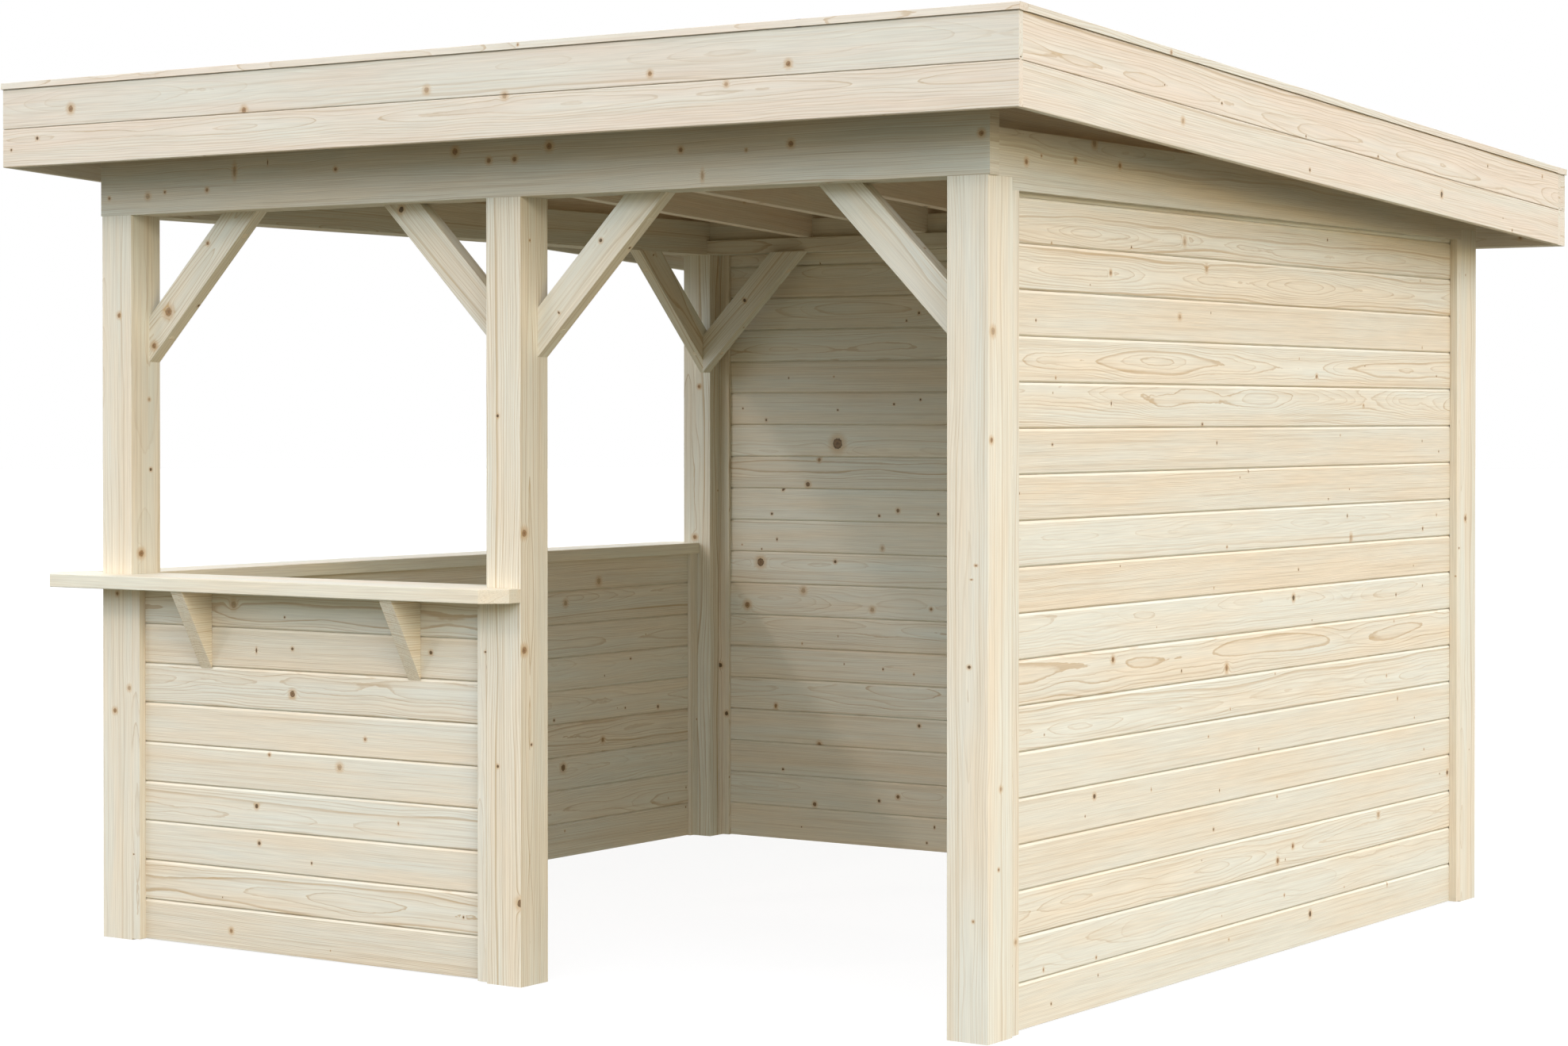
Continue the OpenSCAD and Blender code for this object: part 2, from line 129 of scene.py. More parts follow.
class Wood:
    """Gathers sticks of wood into one mesh with its grain coordinates."""

    def __init__(self, name, slot):
        self.name, self.slot = name, slot
        self.verts, self.faces = [], []
        self.grain, self.knot, self.form, self.tint, self.ring = [], [], [], [], []
        self.rng = random.Random(zlib.crc32(name.encode()))

    def face(self, ids, xyz, shift, knot, tint, ring):
        self.faces.append(ids)
        for gx, gy, gz, ky in xyz:
            self.grain.append((gx + shift[0], gy + shift[1], gz + shift[2]))
            if knot is None:
                self.knot.append(NO_KNOT[0])
                self.form.append(NO_KNOT[1])
            else:
                x, c, rx, ry, kind, fall = knot
                self.knot.append((gx - x, ky - c, fall))
                self.form.append((rx, ry, kind))
            self.tint.append(tint)
            self.ring.append(ring)

    def stick(self, a, b, up, w, h, profile=None, cut0=None, cut1=None, bev=0.003,
              knots=2.2, warm=0.0, light=0.0, flat=None, pitch=None, small=0.6, like=None, planed=0.0):
        """A piece of wood from a to b, w wide square to up and h along up. cut0 and
        cut1 are the planes (point, normal) of its ends. knots is how many a metre."""
        rng = self.rng
        ax = (b - a).normalized()
        az = (up - ax * up.dot(ax)).normalized()
        ay = az.cross(ax)
        length = (b - a).length
        if profile is None:
            profile = rounded(w, h, bev)
        pts = [p[:2] for p in profile]
        n = len(pts)
        # which side each edge of the profile belongs to
        sides = []
        for i in range(n):
            (y0, z0), (y1, z1) = pts[i], pts[(i + 1) % n]
            ny, nz = z1 - z0, -(y1 - y0)
            sides.append(("y+" if ny > 0 else "y-") if abs(ny) > abs(nz) * 1.001
                         else ("z+" if nz > 0 else "z-"))
        # grain: the heart of the tree lies at (py, pz) from the middle of the stick
        big, thin = max(w, h), min(w, h)
        if flat is None:
            flat = rng.random() < 0.62
        if thin > 0.09:
            ang = rng.uniform(0, 2 * math.pi)
            off = rng.uniform(0.045, 0.10)
            py, pz = off * math.cos(ang), off * math.sin(ang)
        elif flat:
            py = rng.uniform(-0.28, 0.28) * w
            pz = rng.choice((-1, 1)) * rng.uniform(0.035, 0.085)
        else:
            py = rng.choice((-1, 1)) * rng.uniform(0.7, 1.5) * w
            pz = rng.uniform(-0.03, 0.03)
        shift = (rng.uniform(0, 40), -py, -pz)
        ring = pitch or (rng.uniform(0.0032, 0.0056) if flat or thin > 0.09 else rng.uniform(0.0022, 0.0038))
        tint = (light + rng.gauss(0, 0.45), warm + rng.gauss(0, 0.5), rng.uniform(0.35, 1.0))

        if like:  # the figure of an earlier stick runs on through this one
            a0, shift0, tint, ring = like
            d = a - a0
            shift = (shift0[0] + d.dot(ax), shift0[1] + d.dot(ay), shift0[2] + d.dot(az))
        self.last = (a, shift, tint, ring)

        # knots on each side
        span = {"z+": w, "z-": w, "y+": h, "y-": h}
        mine = {s: [] for s in span}
        for p, rx, ry, kind in KNOTS:
            rel = p - a
            kx, ky, kz = rel.dot(ax), rel.dot(ay), rel.dot(az)
            if 0.0 < kx < length and abs(ky) < w / 2 + 0.003 and abs(kz) < h / 2 + 0.003:
                if abs(abs(kz) - h / 2) < 0.004:
                    mine["z+" if kz > 0 else "z-"].append([kx, ky, rx, ry, kind])
                elif abs(abs(ky) - w / 2) < 0.004:
                    mine["y+" if ky > 0 else "y-"].append([kx, kz, rx, ry, kind])
        marked = {s for s in mine if mine[s]}
        for s in span:
            if s in marked or knots <= 0:
                continue
            if s == "z-" and "z+" in marked and thin < 0.03:
                continue
            count = int(length * knots * min(1.0, span[s] / 0.08) + rng.random())
            for _ in range(count):
                kx = rng.uniform(0.03, length - 0.03)
                ky = rng.uniform(-0.44, 0.44) * span[s]
                if rng.random() < small:
                    r = rng.uniform(0.0016, 0.0034)
                    mine[s].append([kx, ky, r * rng.uniform(0.75, 1.2), r * rng.uniform(0.9, 1.5),
                                    rng.choice((1.0, 1.0, 0.45))])
                else:
                    r = min(rng.uniform(0.004, 0.0078), span[s] * 0.2)
                    mine[s].append([kx, ky, r, r * rng.uniform(0.9, 1.25),
                                    rng.choice((0.3, 0.45, 0.6, 1.0))])
        if thin < 0.03 and mine["z+"] and "z-" not in marked:
            mine["z-"] = [list(k) for k in mine["z+"]]
        for s in mine:
            ks, kept = sorted(mine[s]), []
            for k in ks:
                if not kept or k[0] - kept[-1][0] > 0.022:
                    kept.append(k)
            mine[s] = kept

        # end planes and stations
        def end(cut, x):
            if cut is None:
                return [x] * n
            point, normal = cut
            out = []
            for y, z in pts:
                base = a + ay * y + az * z
                out.append((point - base).dot(normal) / ax.dot(normal))
            return out

        e0, e1 = end(cut0, 0.0), end(cut1, length)
        marks = set()
        for s in mine:
            for k0, k1 in zip(mine[s], mine[s][1:]):
                marks.add(round((k0[0] + k1[0]) / 2, 4))
        lo, hi = max(e0) + 0.002, min(e1) - 0.002
        cuts = []
        for m in sorted(marks):
            if lo < m < hi and (not cuts or m - cuts[-1] > 0.0015):
                cuts.append(m)
        stations = [e0] + [[m] * n for m in cuts] + [e1]
        limits = [-9.0] + cuts + [99.0]
        # chamfers that look up get a painted highlight: a lighter tone, with their lines faded
        tints = []
        for i in range(n):
            (y0, z0), (y1, z1) = pts[i], pts[(i + 1) % n]
            ny, nz = z1 - z0, -(y1 - y0)
            size = math.hypot(ny, nz)
            slant = size > 0.002 and min(abs(ny), abs(nz)) > 0.3 * size and (ay * ny + az * nz).z > 0.25 * size
            tints.append((tint[0] + planed, tint[1], tint[2] * 0.4) if slant and planed else tint)

        base = len(self.verts)
        for st in stations:
            for (y, z), x in zip(pts, st):
                self.verts.append(a + ax * x + ay * y + az * z)

        def nearest(s, x0, x1):
            """The knot of side s whose own stretch holds this segment."""
            ks = mine[s]
            if not ks:
                return None
            mid = (max(x0, 0.0) + min(x1, length)) / 2
            q = min(range(len(ks)), key=lambda i: abs(ks[i][0] - mid))
            k = ks[q]
            fall = 5.5 * max(k[2], k[3])
            if q > 0:
                fall = min(fall, (k[0] - ks[q - 1][0]) / 2)
            if q < len(ks) - 1:
                fall = min(fall, (ks[q + 1][0] - k[0]) / 2)
            return (*k, fall)

        for i in range(len(stations) - 1):
            held = {s: nearest(s, limits[i], limits[i + 1]) for s in mine}
            for j in range(n):
                j2 = (j + 1) % n
                s = sides[j]
                ids = (base + i * n + j, base + i * n + j2, base + (i + 1) * n + j2, base + (i + 1) * n + j)
                xyz = []
                for st, q in ((stations[i], j), (stations[i], j2), (stations[i + 1], j2), (stations[i + 1], j)):
                    y, z = pts[q]
                    xyz.append((st[q], y, z, y if s[0] == "z" else z))
                # the ring's sign says which way the face lies, across or along up
                self.face(ids, xyz, shift, held[s], tints[j], ring if s[0] == "z" else -ring)
        last = base + (len(stations) - 1) * n
        dark = (tint[0] - 0.5, tint[1] + 0.3, tint[2])
        self.face(tuple(base + j for j in reversed(range(n))),
                  [(e0[j], *pts[j], 0) for j in reversed(range(n))], shift, None, dark, ring)
        self.face(tuple(last + j for j in range(n)),
                  [(e1[j], *pts[j], 0) for j in range(n)], shift, None, dark, ring)
        return self

    def done(self, *nodes):
        mesh = bpy.data.meshes.new(self.name)
        mesh.from_pydata([tuple(v) for v in self.verts], [], self.faces)
        for name, data in (("grain", self.grain), ("knot", self.knot), ("form", self.form), ("tint", self.tint)):
            layer = mesh.attributes.new(name, "FLOAT_VECTOR", "CORNER")
            layer.data.foreach_set("vector", [c for v in data for c in v])
        layer = mesh.attributes.new("ring", "FLOAT", "CORNER")
        layer.data.foreach_set("value", self.ring)
        mesh.update()
        ob = bpy.data.objects.new(self.name, mesh)
        scene.collection.objects.link(ob)
        mesh.materials.append(MATS[self.slot])
        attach(ob, "root")
        if nodes:
            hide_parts(*nodes)
        return ob


def rounded(w, h, b):
    """Rectangle with a small three-point round on each corner, anticlockwise."""
    k = b * 0.29
    out = []
    for sy, sz in ((1, -1), (1, 1), (-1, 1), (-1, -1)):
        cy, cz = sy * w / 2, sz * h / 2
        near = [(cy - sy * b, cz), (cy - sy * k, cz - sz * k), (cy, cz - sz * b)]
        if (sy, sz) in ((1, 1), (-1, -1)):
            near.reverse()
        out += near
    return out


def tongued(w, t, v=0.0062, tongue=True, groove=True, gap=0.0005, backv=True, v_hi=None, v_lo=None):
    """Wall board: w is its cover height, t its thickness, v its chamfers."""
    H, T, q = w / 2 - gap, t / 2, 0.0035
    hi = v if v_hi is None else v_hi
    lo = v if v_lo is None else v_lo
    bh, bl = (hi, lo) if backv else (0.001, 0.001)
    pts = [(-H + bl, -T), (H - bh, -T), (H, -T + bh)]
    if tongue:
        pts += [(H, -q), (H + 0.006, -q), (H + 0.006, q), (H, q)]
    pts += [(H, T - hi * 0.6), (H - hi, T), (-H + lo, T), (-H, T - lo)]
    if groove:
        g = q + 0.0005
        pts += [(-H, g), (-H + 0.0075, g), (-H + 0.0075, -g), (-H, -g)]
    pts += [(-H, -T + bl)]
    return pts


# ---------------------------------------------------------------- materials
class Nodes:
    def __init__(self, tree):
        self.t, self.n, self.l = tree, tree.nodes, tree.links

    def put(self, kind, **inputs):
        node = self.n.new(kind)
        for k, v in inputs.items():
            self.feed(node.inputs[k.replace("_", " ")], v)
        return node

    def feed(self, socket, v):
        if isinstance(v, bpy.types.NodeSocket):
            self.l.new(v, socket)
        elif v is not None:
            socket.default_value = v

    def m(self, op, a, b=None, c=None, clamp=False):
        node = self.n.new("ShaderNodeMath")
        node.operation, node.use_clamp = op, clamp
        for s, v in zip(node.inputs, (a, b, c)):
            self.feed(s, v)
        return node.outputs[0]

    def ramp(self, x, a, b, lo=0.0, hi=1.0, smooth=True):
        node = self.n.new("ShaderNodeMapRange")
        node.interpolation_type = "SMOOTHSTEP" if smooth else "LINEAR"
        node.clamp = True
        for s, v in zip(node.inputs, (x, a, b, lo, hi)):
            self.feed(s, v)
        return node.outputs[0]

    def mix(self, f, a, b):
        node = self.n.new("ShaderNodeMix")
        node.data_type, node.clamp_factor = "RGBA", True
        self.feed(node.inputs[0], f)
        self.feed(node.inputs[6], a)
        self.feed(node.inputs[7], b)
        return node.outputs[2]

    def attr(self, name):
        node = self.n.new("ShaderNodeAttribute")
        node.attribute_name = name
        return node

    def noise(self, vec, scale=1.0, detail=2.0, rough=0.5, dims="3D"):
        node = self.n.new("ShaderNodeTexNoise")
        node.noise_dimensions = dims
        self.feed(node.inputs["Vector"], vec)
        self.feed(node.inputs["Scale"], scale)
        self.feed(node.inputs["Detail"], detail)
        self.feed(node.inputs["Roughness"], rough)
        return node.outputs[0]

    def vec(self, x, y, z):
        node = self.n.new("ShaderNodeCombineXYZ")
        for s, v in zip(node.inputs, (x, y, z)):
            self.feed(s, v)
        return node.outputs[0]

    def xyz(self, v):
        node = self.n.new("ShaderNodeSeparateXYZ")
        self.feed(node.inputs[0], v)
        return node.outputs[:]


def lin(r, g, b):
    return tuple(((c / 255 + 0.055) / 1.055) ** 2.4 if c > 10 else c / 3294.6 for c in (r, g, b)) + (1.0,)


def spruce(name, cool, warm, late, lines=1.0, rough=0.62, seed=0.0):
    """Unfinished spruce: growth rings about the heart of each stick, bent by slow
    swirls and by knots, with fibre streaks, pale and warm bands, and knots."""
    mat = bpy.data.materials.new(name)
    mat.use_nodes = True
    N = Nodes(mat.node_tree)
    N.n.clear()
    gx, gy, gz = N.xyz(N.attr("grain").outputs["Vector"])
    dx, dy, fall = N.xyz(N.attr("knot").outputs["Vector"])
    rx, ry, kind = N.xyz(N.attr("form").outputs["Vector"])
    light, hue, contrast = N.xyz(N.attr("tint").outputs["Vector"])
    ring = N.attr("ring").outputs["Fac"]
    pitch = N.m("ABSOLUTE", ring)
    flat = N.m("GREATER_THAN", ring, 0.0)
    gx = N.m("ADD", gx, seed)

    def swirl(sx, sc, detail=2.0):
        return N.m("SUBTRACT", N.noise(N.vec(N.m("MULTIPLY", gx, sx), N.m("MULTIPLY", gy, sc),
                                             N.m("MULTIPLY", gz, sc)), 1.0, detail), 0.5)

    # distance from the heart, bent
    r = N.m("SQRT", N.m("ADD", N.m("MULTIPLY", gy, gy), N.m("MULTIPLY", gz, gz)))
    # how fast the rings go by in this face, so that a line keeps its width
    over = N.m("ADD", N.m("MULTIPLY", flat, N.m("ABSOLUTE", gy)), N.m("MULTIPLY", N.m("SUBTRACT", 1.0, flat), N.m("ABSOLUTE", gz)))
    slope = N.m("DIVIDE", over, N.m("ADD", r, 0.001))
    r = N.m("MULTIPLY_ADD", swirl(1.15, 6.0, 1.0), 0.046, r)
    r = N.m("MULTIPLY_ADD", swirl(5.0, 22.0, 0.0), 0.0085, r)
    r = N.m("MULTIPLY_ADD", swirl(34.0, 110.0, 1.0), 0.0010, r)
    # knots: elliptical distance, and how far they bend the rings
    ex, ey = N.m("DIVIDE", dx, rx), N.m("DIVIDE", dy, ry)
    e = N.m("SQRT", N.m("ADD", N.m("MULTIPLY", ex, ex), N.m("MULTIPLY", ey, ey)))
    wob = swirl(160.0, 160.0, 0.0)
    e = N.m("MULTIPLY_ADD", wob, 0.35, e)
    reach = N.m("SQRT", N.m("ADD", N.m("MULTIPLY", dx, dx), N.m("MULTIPLY", N.m("MULTIPLY", dy, dy), 2.2)))
    pull = N.ramp(N.m("DIVIDE", reach, fall), 1.0, 0.0)
    pull = N.m("MULTIPLY", pull, pull)
    r = N.m("ADD", r, N.m("MULTIPLY", pull, N.m("MULTIPLY", ry, 0.95)))
    # rings, unevenly spaced, each with its own strength
    ring = N.m("DIVIDE", r, pitch)
    loose = N.noise(N.vec(N.m("MULTIPLY", ring, 0.31), 3.7, 1.9), 1.0, 0.0)
    ring = N.m("MULTIPLY_ADD", loose, 2.6, ring)
    f = N.m("FRACT", ring)
    num = N.m("FLOOR", ring)
    white = N.n.new("ShaderNodeTexWhiteNoise")
    white.noise_dimensions = "1D"
    N.feed(white.inputs["W"], num)
    amp = N.m("MULTIPLY_ADD", N.m("MULTIPLY", white.outputs["Value"], white.outputs["Value"]), 0.7, 0.28)
    thick = N.m("DIVIDE", N.m("MULTIPLY_ADD", slope, 0.0016, 0.0002), pitch)
    thick = N.m("MINIMUM", thick, 0.36)
    line = N.m("MULTIPLY", N.ramp(f, N.m("SUBTRACT", 0.98, N.m("MULTIPLY", thick, 1.9)), N.m("SUBTRACT", 0.98, N.m("MULTIPLY", thick, 0.5))),
               N.ramp(f, 1.0, N.m("SUBTRACT", 1.0, N.m("MULTIPLY", thick, 0.3))))
    line = N.m("MULTIPLY", line, amp)
    # fibres and slow bands
    fibre = N.noise(N.vec(N.m("MULTIPLY", gx, 9.0), N.m("MULTIPLY", gy, 620.0), N.m("MULTIPLY", gz, 620.0)), 1.0, 1.0, 0.6)
    band = N.noise(N.vec(N.m("MULTIPLY", gx, 1.3), N.m("MULTIPLY", gy, 14.0), N.m("MULTIPLY", gz, 14.0)), 1.0, 1.0)
    patch = N.noise(N.vec(N.m("MULTIPLY", gx, 4.5), N.m("MULTIPLY", gy, 30.0), N.m("MULTIPLY", gz, 30.0)), 1.0, 1.0)
    w = N.m("ADD", N.m("MULTIPLY_ADD", hue, 0.26, 0.47), N.m("MULTIPLY", N.m("SUBTRACT", band, 0.5), 2.4))
    w = N.m("ADD", w, N.m("MULTIPLY", N.m("SUBTRACT", patch, 0.5), 0.7), clamp=True)
    col = N.mix(w, cool, warm)
    strength = N.m("MINIMUM", N.m("MULTIPLY", N.m("MULTIPLY", line, contrast), 0.62 * lines), 0.46)
    soft = N.m("MULTIPLY", N.m("MULTIPLY", N.ramp(f, 0.0, 1.0, smooth=False), contrast), 0.13 * lines)
    streak = N.noise(N.vec(N.m("MULTIPLY", gx, 1.1), N.m("MULTIPLY", gy, 130.0), N.m("MULTIPLY", gz, 130.0)), 1.0, 1.0, 0.6)
    soft = N.m("ADD", soft, N.m("MULTIPLY", N.ramp(streak, 0.48, 0.80), 0.22 * lines))
    col = N.mix(N.m("ADD", strength, soft), col, late)
    fine = N.noise(N.vec(N.m("MULTIPLY", gx, 7.0), N.m("MULTIPLY", gy, 330.0), N.m("MULTIPLY", gz, 330.0)), 1.0, 1.0, 0.7)
    bright = N.m("MULTIPLY_ADD", N.m("SUBTRACT", fibre, 0.5), 0.12, 0.93)
    bright = N.m("MULTIPLY_ADD", N.m("SUBTRACT", fine, 0.5), 0.26, bright)
    bright = N.m("MULTIPLY_ADD", light, 0.028, bright)
    # knots
    halo = N.m("MULTIPLY", N.ramp(e, 2.9, 0.9), N.ramp(kind, 0.0, 0.5, 0.3, 0.62))
    col = N.mix(halo, col, lin(204, 166, 114))
    core = N.ramp(e, 1.15, 0.75)
    mott = N.noise(N.vec(N.m("MULTIPLY", gx, 420.0), N.m("MULTIPLY", gy, 420.0), N.m("MULTIPLY", gz, 420.0)), 1.0, 1.0, 0.6)
    mott = N.m("ADD", N.ramp(mott, 0.38, 0.66), N.ramp(e, 0.7, 0.1, -0.2, 0.5), clamp=True)
    heart = N.mix(mott, lin(170, 130, 86), lin(112, 78, 46))
    deep = N.mix(N.ramp(kind, 0.6, 1.0), heart, N.mix(mott, lin(110, 82, 50), lin(66, 50, 30)))
    seen = N.m("MULTIPLY", core, N.ramp(kind, 0.0, 0.6, 0.0, 0.92))
    col = N.mix(seen, col, deep)
    rim = N.m("MULTIPLY", N.m("MULTIPLY", N.ramp(e, 0.72, 0.92), N.ramp(e, 1.18, 1.0)), N.ramp(kind, 0.4, 0.8, 0.1, 0.75))
    col = N.mix(rim, col, lin(78, 56, 38))
    scale = N.n.new("ShaderNodeVectorMath")
    scale.operation = "SCALE"
    N.feed(scale.inputs[0], col)
    N.feed(scale.inputs["Scale"], bright)
    # relief
    high = N.m("MULTIPLY_ADD", line, -0.35, N.m("MULTIPLY", fibre, 0.45))
    high = N.m("MULTIPLY_ADD", core, 0.6, high)
    bump = N.put("ShaderNodeBump", Strength=0.35, Distance=0.0006, Height=high)
    rgh = N.m("MULTIPLY_ADD", fibre, 0.16, rough - 0.08)
    rgh = N.m("MULTIPLY_ADD", core, -0.12, rgh)
    bsdf = N.put("ShaderNodeBsdfPrincipled", Base_Color=scale.outputs[0], Roughness=rgh, Normal=bump.outputs[0])
    bsdf.inputs["Specular IOR Level"].default_value = 0.3
    out = N.n.new("ShaderNodeOutputMaterial")
    N.l.new(bsdf.outputs[0], out.inputs[0])
    return mat


COOL, WARM, LATE = lin(231, 228, 212), lin(236, 223, 199), lin(190, 161, 112)
MATS = {
    "post_wood": spruce("spruce_posts", COOL, WARM, lin(188, 158, 110), 1.3, seed=1.3),
    # the beams' wood is painted greyer and darker, painted shade for their place under the roof
    "beam_wood": spruce("spruce_beams_painted_shade", lin(218, 217, 202), lin(225, 213, 190), lin(178, 150, 106), 1.15, seed=4.1),
    # the rafters' wood is painted lighter than the rest, painted light for the light on their sides under the roof
    "rafter_wood": spruce("spruce_rafters_painted_light", lin(236, 226, 208), lin(240, 220, 198), lin(190, 156, 110), 0.95, seed=7.7),
    # the roof boards are painted darker, painted shade that keeps their lit top from washing out
    "deck_wood": spruce("spruce_roof_boards_painted_shade", lin(206, 197, 174), lin(208, 188, 156), lin(168, 132, 92), 1.1, seed=9.2),
    "fascia_wood": spruce("spruce_fascias", lin(230, 226, 211), lin(234, 220, 202), lin(190, 160, 114), 1.05, seed=12.6),
    "board_wood": spruce("spruce_boards", COOL, WARM, lin(189, 157, 111), 1.15, seed=15.9),
    "counter_wood": spruce("spruce_counter", lin(233, 229, 210), lin(238, 224, 198), lin(200, 170, 124), 0.8, seed=18.4),
    "brace_wood": spruce("spruce_braces", COOL, WARM, LATE, 1.1, seed=22.2),
}


# ---------------------------------------------------------------- frame
def upright(node, slot="post_wood", **kw):
    lo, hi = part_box(node)
    c = (lo + hi) / 2
    s = Wood(node + "_timber", slot)
    s.stick(Vector((c.x, c.y, lo.z)), Vector((c.x, c.y, hi.z)), -Y, hi.x - lo.x, hi.y - lo.y, **kw)
    return s.done(node)


for node in ("post_front_left", "post_front_middle", "post_front_right", "post_back_left", "post_back_right"):
    upright(node, bev=0.0015, knots=1.5, small=0.7, pitch=0.0072)


def level(node, slot="beam_wood", **kw):
    """A straight timber along its longest side."""
    lo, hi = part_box(node)
    c, d = (lo + hi) / 2, hi - lo
    s = Wood(node + "_timber", slot)
    if d.x > d.y:
        s.stick(Vector((lo.x, c.y, c.z)), Vector((hi.x, c.y, c.z)), -Y, d.z, d.y, **kw)
    else:
        s.stick(Vector((c.x, lo.y, c.z)), Vector((c.x, hi.y, c.z)), X, d.z, d.x, **kw)
    s.done(node)
    return s.last


level("front_beam", knots=1.4, bev=0.0015)
LEFT_FIGURE = level("left_beam", knots=1.4, bev=0.0008)
RIGHT_FIGURE = level("right_beam", knots=1.4, bev=0.0006, warm=0.5, flat=True)
BACK_FIGURE = level("back_beam", knots=1.4, bev=0.0006)
level("back_ledger", knots=1.6, bev=0.001)

# header: its top follows the slope
lo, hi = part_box("front_header")
s = Wood("front_header_board", "beam_wood")
h, t = hi.z - lo.z, hi.y - lo.y
c = (lo + hi) / 2
prof = rounded(h, t, 0.0012)
drop = TAN * t
prof = [(y - (drop * (t / 2 - z) / t if y > 0 else 0), z) for y, z in prof]
s.stick(Vector((lo.x, c.y, c.z)), Vector((hi.x, c.y, c.z)), -Y, h, t, profile=prof, knots=1.2, flat=False, pitch=0.0048, small=0.5)
# its two ends carry on the figure of the side beams behind them
ends = len(s.faces) - 2, len(s.faces) - 1
at = sum(len(f) for f in s.faces[:ends[0]])
for face, (a0, shift0, tint0, ring0) in zip(ends, (LEFT_FIGURE, RIGHT_FIGURE)):
    for i in s.faces[face]:
        d = s.verts[i] - a0
        s.grain[at] = (d.y + shift0[0], d.z + shift0[1], d.x + shift0[2])
        s.tint[at], s.ring[at] = tint0, ring0
        at += 1
s.done("front_header")

# ---------------------------------------------------------------- roof
RAFTER_H = 0.135
R_LO, R_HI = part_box("rafters")


def over_z(y):
    return deck_z(y) - DECK_T / COS


def under_z(y):
    return over_z(y) - RAFTER_H / COS


YI0, YI1 = D_LO.y, D_HI.y  # behind the front fascia, in front of the back one
BEAM_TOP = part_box("back_beam")[1].z


def sloped(s, xc, w, y0, y1, zfun_top, height, **kw):
    """A rafter: w thick, height deep square to the roof, top on zfun_top."""
    ym = (y0 + y1) / 2
    top = Vector((xc, ym, zfun_top(ym)))
    mid = top - UPR * (height / 2)
    half = (y1 - y0) / 2 / COS
    a, b = mid - DOWN * half, mid + DOWN * half
    s.stick(a, b, X, height, w, cut0=(Vector((xc, y0, 0)), Y), cut1=(Vector((xc, y1, 0)), Y), **kw)


# inner rafters: their backs are cut level over the back beam, so each is a full
# part up to the beam and a lower part with a level underside behind it
s = Wood("rafter_timbers", "rafter_wood")
RT = 0.045
xs = []
x = R_HI.x
while x > R_LO.x + 0.01:
    xs.append(x - RT / 2)
    x -= (R_HI.x - RT - R_LO.x) / 4
for xc in xs:
    sloped(s, xc, RT, YI0, YIN, over_z, RAFTER_H, knots=2.0, bev=0.0012)
    # tail over the beam
    h0, h1 = over_z(YIN) - BEAM_TOP, over_z(YI1) - BEAM_TOP
    n0 = len(s.verts)
    a = Vector((xc, YIN, BEAM_TOP + h0 / 2))
    b = Vector((xc, YI1, BEAM_TOP + h0 / 2))
    s.stick(a, b, X, h0, RT, knots=1.5, bev=0.0012)
    for i in range(n0, len(s.verts)):
        v = s.verts[i]
        if v.z > BEAM_TOP + h0 / 2:
            v.z -= TAN * (v.y - YIN)
s.done("rafters")

s = Wood("edge_rafter_timbers", "rafter_wood")
E0, E1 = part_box("edge_rafters")
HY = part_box("front_header")[1].y
for sx in (-1, 1):
    xc = sx * (E1.x - RT / 2)
    sloped(s, xc, RT, YI0, HY, over_z, RAFTER_H, knots=1.0, bev=0.0012)
    h0 = over_z(HY) - BEAM_TOP
    n0 = len(s.verts)
    s.stick(Vector((xc, HY, BEAM_TOP + h0 / 2)), Vector((xc, YI1, BEAM_TOP + h0 / 2)), X * sx, h0, RT, knots=1.6, bev=0.0012)
    for i in range(n0, len(s.verts)):
        v = s.verts[i]
        if v.z > BEAM_TOP + h0 / 2:
            v.z -= TAN * (v.y - HY)
s.done("edge_rafters")

# roof boards across the rafters, tongued, V joints underneath
s = Wood("roof_deck_boards", "deck_wood")
run = (YI1 - YI0) / COS
count = 29
wide = run / count
for i in range(count):
    y = YI0 + (i + 0.5) * wide * COS
    mid = Vector((0, y, deck_z(y))) - UPR * (DECK_T / 2)
    prof = tongued(wide, DECK_T, v=0.004, tongue=i > 0, groove=i < count - 1)
    # along -X with up = UPR puts the board's width up the slope
    s.stick(mid + X * D_HI.x, mid + X * D_LO.x, UPR, wide, DECK_T, profile=prof, knots=2.0)
s.done("roof_deck")

# ---------------------------------------------------------------- roof edge
F_LO, F_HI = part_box("fascia_front")
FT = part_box("fascia_right")[1].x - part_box("fascia_right")[0].x
XF = F_HI.x
YFF = F_LO.y
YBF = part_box("fascia_back_outer")[1].y
FASCIA_H = 0.2315
LOW_H = 0.1135


def cross_fascia(name, node, y0, y1, out, x0, x1, vee=True, light=0.0):
    """A fascia of two boards along X whose top and bottom follow the slope."""
    s = Wood(name, "fascia_wood")
    ym, t = (y0 + y1) / 2, y1 - y0
    v = 0.0018
    for k, (h0, h1) in enumerate(((0.0, LOW_H), (LOW_H, FASCIA_H))):
        h = h1 - h0
        lo_v = v if (k == 1 and vee) else 0.0015
        hi_v = v if (k == 0 and vee) else 0.0015
        prof = tongued(h, t, tongue=k == 0, groove=k == 1, v_hi=hi_v, v_lo=lo_v, backv=False, gap=0.0008 if vee else 0.0002)
        sign = 1 if out.y > 0 else -1
        prof = [(y - TAN * sign * z, z) for y, z in prof]
        zc = deck_z(ym) - FASCIA_H + (h0 + h1) / 2
        a, b = Vector((x0, ym, zc)), Vector((x1, ym, zc))
        if out.y > 0:
            a, b = b, a
        s.stick(a, b, out, h, t, profile=prof, knots=1.6, light=light - 1.5 * k, pitch=0.0062)
    return s.done(node)


cross_fascia("fascia_front_boards", "fascia_front", YFF, YFF + FT, -Y, -XF, XF)
cross_fascia("fascia_back_boards", "fascia_back", YI1, YI1 + FT, Y, -XF, XF, vee=False)
cross_fascia("fascia_back_outer_boards", "fascia_back_outer", YI1 + FT, YBF, Y, -XF, XF)

